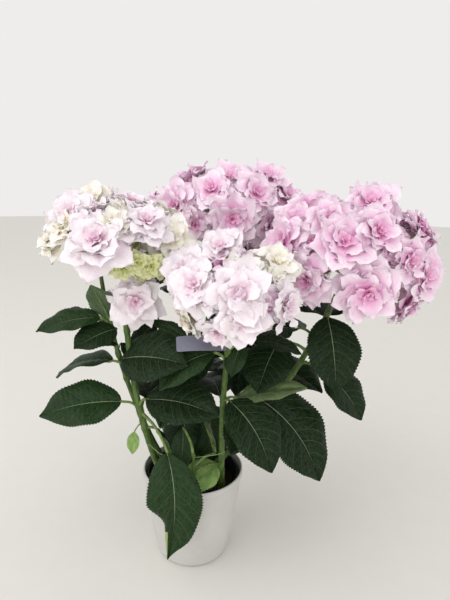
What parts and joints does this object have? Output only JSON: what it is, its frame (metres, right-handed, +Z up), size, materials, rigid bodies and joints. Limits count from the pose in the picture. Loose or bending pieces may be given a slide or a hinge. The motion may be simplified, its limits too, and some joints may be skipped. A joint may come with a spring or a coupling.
{
  "type": "potted hydrangea shrub",
  "caption": "Hydrangea shrub in a round white pot, with pink and white double flower heads over large dark leaves.",
  "frame": {"origin": "middle of the pot's flat underside", "axes": "+Z up, -Y towards the side that the picture shows, +X to its right"},
  "size_m": [0.4791, 0.3828, 0.528],
  "materials": {
    "pot": "smooth satin white",
    "nursery_pot": "thin black plastic",
    "soil": "damp dark potting soil",
    "stem": "light green soft-wooded stem",
    "leaf": "dark green leaf with a soft blue-grey sheen",
    "label": "bare grey-lilac card",
    "blossom_front": "soft matt petals",
    "blossom_left": "soft matt petals",
    "blossom_back": "soft matt petals",
    "blossom_right": "soft matt petals",
    "blossom_rear_right": "soft matt petals",
    "blossom_rear_left": "soft matt petals"
  },
  "bodies": {
    "root": {"pot": "pot", "nursery_pot": "nursery_pot", "soil": "soil", "stem_left": "stem", "stem_far_left": "stem", "stem_front": "stem", "stem_right": "stem", "stem_back": "stem", "stem_rear_right": "stem", "stem_rear_left": "stem", "stem_low_front": "stem", "stem_low_rear": "stem", "flower_head_left": "blossom_left", "flower_head_front": "blossom_front", "flower_head_right": "blossom_right", "flower_head_back": "blossom_back", "flower_head_rear_right": "blossom_rear_right", "flower_head_rear_left": "blossom_rear_left", "label": "label", "leaves_left": "leaf", "leaves_far_left": "leaf", "leaves_front": "leaf", "leaves_right": "leaf", "leaves_back": "leaf", "leaves_rear_right": "leaf", "leaves_rear_left": "leaf", "leaves_low_front": "leaf", "leaves_low_rear": "leaf"}
  },
  "joints": []
}
